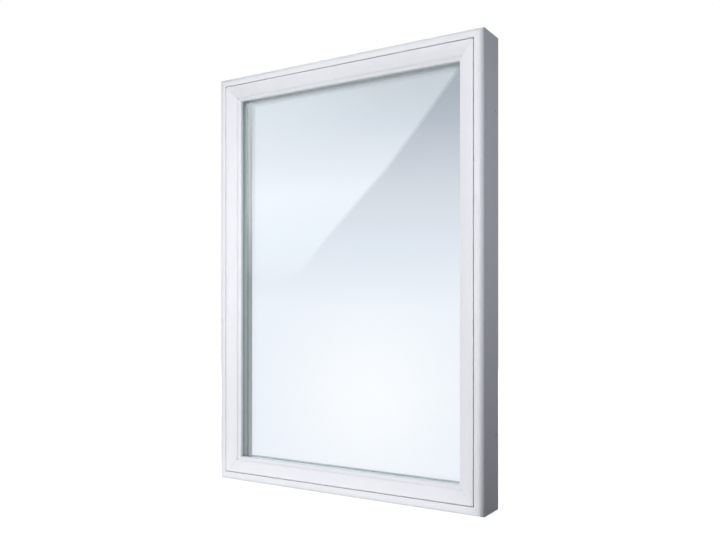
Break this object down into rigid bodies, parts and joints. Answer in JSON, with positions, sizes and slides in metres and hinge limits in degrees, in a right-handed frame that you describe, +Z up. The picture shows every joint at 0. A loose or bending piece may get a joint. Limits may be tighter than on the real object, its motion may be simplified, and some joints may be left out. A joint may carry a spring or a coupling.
{
  "type": "fixed picture window",
  "caption": "Fixed picture window: a mitred white hollow-profile box frame with bevelled snap-in glazing beads around a sealed insulating glass unit. It has no moving parts.",
  "frame": {"origin": "on the underside of the sill, halfway across the width and halfway through the frame depth", "axes": "+Z up, -Y towards the outside (the face with the glazing beads), +Y into the room, +X to the right as seen from outside"},
  "size_m": [0.672, 0.0826, 0.95],
  "materials": {
    "frame_vinyl": "satin",
    "bead_vinyl": "satin",
    "cap_plastic": "satin",
    "gasket_rubber": "matte",
    "glazing_tape": "matte",
    "glass": "clear",
    "edge_sealant": "matte",
    "spacer_aluminium": "mill",
    "key_plastic": "matte",
    "block_plastic": "matte"
  },
  "bodies": {
    "root": {"frame_head": "frame_vinyl", "frame_sill": "frame_vinyl", "frame_jamb_left": "frame_vinyl", "frame_jamb_right": "frame_vinyl", "bead_head": "bead_vinyl", "bead_sill": "bead_vinyl", "bead_left": "bead_vinyl", "bead_right": "bead_vinyl", "gasket_head": "gasket_rubber", "gasket_sill": "gasket_rubber", "gasket_left": "gasket_rubber", "gasket_right": "gasket_rubber", "tape_head": "glazing_tape", "tape_sill": "glazing_tape", "tape_left": "glazing_tape", "tape_right": "glazing_tape", "glass_outer": "glass", "glass_inner": "glass", "edge_seal": "edge_sealant", "spacer_head": "spacer_aluminium", "spacer_sill": "spacer_aluminium", "spacer_left": "spacer_aluminium", "spacer_right": "spacer_aluminium", "corner_key_top_left": "key_plastic", "corner_key_top_right": "key_plastic", "corner_key_bottom_left": "key_plastic", "corner_key_bottom_right": "key_plastic", "setting_block_left": "block_plastic", "setting_block_right": "block_plastic", "side_block_left_lower": "block_plastic", "side_block_left_upper": "block_plastic", "side_block_right_lower": "block_plastic", "side_block_right_upper": "block_plastic", "screw_cap_left_lower": "cap_plastic", "screw_cap_left_upper": "cap_plastic", "screw_cap_right_lower": "cap_plastic", "screw_cap_right_upper": "cap_plastic"}
  },
  "joints": []
}
